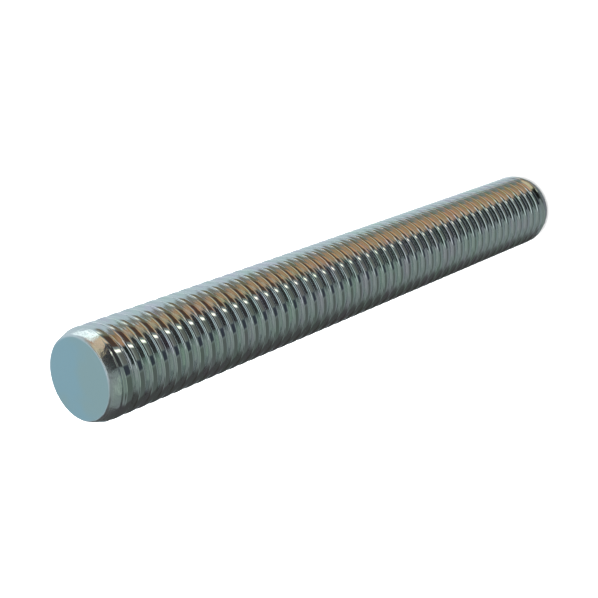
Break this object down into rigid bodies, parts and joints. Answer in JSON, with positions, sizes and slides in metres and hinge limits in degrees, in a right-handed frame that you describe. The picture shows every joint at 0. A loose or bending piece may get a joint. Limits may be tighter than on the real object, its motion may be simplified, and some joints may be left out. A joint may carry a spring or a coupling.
{
  "type": "threaded rod",
  "caption": "Steel rod threaded from end to end with a right-hand metric thread, with flat chamfered ends and bright zinc plating.",
  "frame": {"origin": "centre of the bottom end face, on which the rod stands", "axes": "+Z along the rod's axis, from the bottom end face to the top end face"},
  "size_m": [0.006, 0.006, 0.05],
  "materials": {
    "zinc_plated_steel": "bright zinc plating with a pale blue passivation"
  },
  "bodies": {
    "root": {"threaded_rod": "zinc_plated_steel"}
  },
  "joints": []
}
